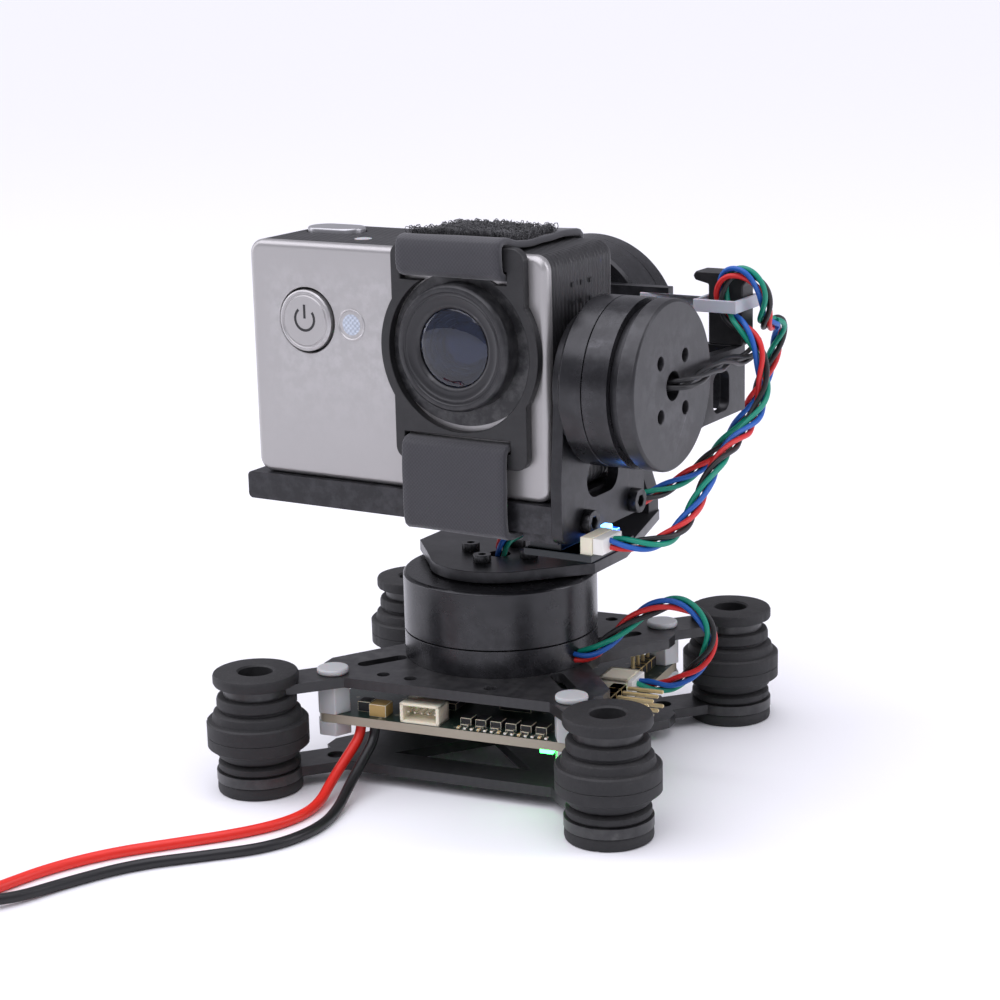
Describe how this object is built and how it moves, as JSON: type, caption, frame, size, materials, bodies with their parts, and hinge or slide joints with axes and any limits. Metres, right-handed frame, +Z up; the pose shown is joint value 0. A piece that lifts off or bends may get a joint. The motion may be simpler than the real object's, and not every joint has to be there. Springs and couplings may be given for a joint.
{
  "type": "camera gimbal",
  "caption": "Three-axis brushless camera gimbal on a rubber-damped base plate, with nested arms, direct-drive motors, wiring, and a boxy action camera strapped into its tray",
  "frame": {"origin": "centre of the underside of the lower base plate, on the yaw axis; the plate carries the bolt holes for the airframe", "axes": "+Z up along the yaw axis, +Y towards the back of the base, +X to the base's right, seen from the front; the head rests turned 7.4 degrees clockwise about +Z"},
  "size_m": [0.1438, 0.1505, 0.0969],
  "materials": {
    "gunmetal": "satin anodised",
    "grey_face": "satin sheen",
    "plate_black": "satin laminate",
    "damper_rubber": "matte",
    "nylon": "natural nylon",
    "circuit_board": "solder mask",
    "board_parts": "moulded",
    "gold_pins": "gold plated",
    "steel": "plain",
    "black_screw": "black oxide",
    "windings": "enamelled copper",
    "magnet": "nickel plated",
    "camera_shell": "fine woven texture",
    "camera_front": "satin silver",
    "lens_black": "semi gloss",
    "lens_glass": "coated",
    "button_silver": "satin",
    "strap_fabric": "loop pile",
    "tie_nylon": "translucent",
    "plug_white": "moulded",
    "signal_wires": "twisted insulated wires",
    "wire_black": "smooth",
    "wire_red": "smooth",
    "power_plug": "moulded"
  },
  "bodies": {
    "root": {"lower_plate": "plate_black", "damper_front_left": "damper_rubber", "damper_front_right": "damper_rubber", "damper_back_right": "damper_rubber", "damper_back_left": "damper_rubber", "upper_plate": "plate_black", "nylon_spacers": "nylon", "nylon_screws": "nylon", "controller_board": "circuit_board", "board_components": "board_parts", "pin_headers": "gold_pins", "yaw_motor_base": "gunmetal", "yaw_stator": "windings", "yaw_bearings": "steel", "yaw_motor_screws": "black_screw", "yaw_motor_cable": "signal_wires", "yaw_cable_plug": "plug_white", "power_lead_red": "wire_red", "power_lead_black": "wire_black", "power_lead_coil": "wire_black", "power_lead_tails": "wire_red", "power_plug": "power_plug"},
    "yaw_head": {"yaw_bell": "gunmetal", "yaw_magnets": "magnet", "yaw_shaft": "steel", "yaw_arm": "gunmetal", "yaw_arm_screws": "black_screw", "roll_motor_base": "gunmetal", "roll_stator": "windings", "roll_bearings": "steel", "head_cable": "signal_wires"},
    "roll_frame": {"roll_bell": "gunmetal", "roll_magnets": "magnet", "roll_shaft": "steel", "roll_arm": "gunmetal", "roll_arm_screws": "black_screw", "pitch_motor_base": "gunmetal", "pitch_stator": "windings", "pitch_bearings": "steel", "arm_end_cap": "grey_face", "cable_saddle": "lens_black", "cable_tie": "tie_nylon", "imu_cable": "signal_wires", "pitch_motor_leads": "wire_black"},
    "cradle": {"pitch_bell": "gunmetal", "pitch_magnets": "magnet", "pitch_shaft": "steel", "camera_tray": "gunmetal", "tray_bracket": "grey_face", "bracket_screws": "black_screw", "imu_board": "board_parts", "imu_plug": "plug_white", "camera_body": "camera_shell", "camera_faceplate": "camera_front", "lens_barrel": "lens_black", "lens_glass": "lens_glass", "front_retainer": "lens_black", "strap": "strap_fabric"},
    "mode_key": {"mode_button": "button_silver"},
    "shutter_key": {"shutter_button": "button_silver"}
  },
  "joints": [
    {"name": "yaw", "type": "hinge", "parent": "root", "child": "yaw_head", "pos_m": [0, 0, 0.03], "axis": [0, 0, 1], "range_deg": [-142.6, 157.4]},
    {"name": "roll", "type": "hinge", "parent": "yaw_head", "child": "roll_frame", "pos_m": [0.00386, 0.02975, 0.07], "axis": [0.1288, 0.9917, 0], "range_deg": [-18, 18]},
    {"name": "pitch", "type": "hinge", "parent": "roll_frame", "child": "cradle", "pos_m": [0.02857, -0.01299, 0.07], "axis": [0.9917, -0.1288, 0], "range_deg": [-40, 90]},
    {"name": "mode_press", "type": "slide", "parent": "cradle", "child": "mode_key", "axis": [0.1288, 0.9917, 0], "range_m": [0, 0.0005], "stiffness_N_per_m": 400},
    {"name": "shutter_press", "type": "slide", "parent": "cradle", "child": "shutter_key", "axis": [0, 0, -1], "range_m": [0, 0.0005], "stiffness_N_per_m": 400}
  ]
}
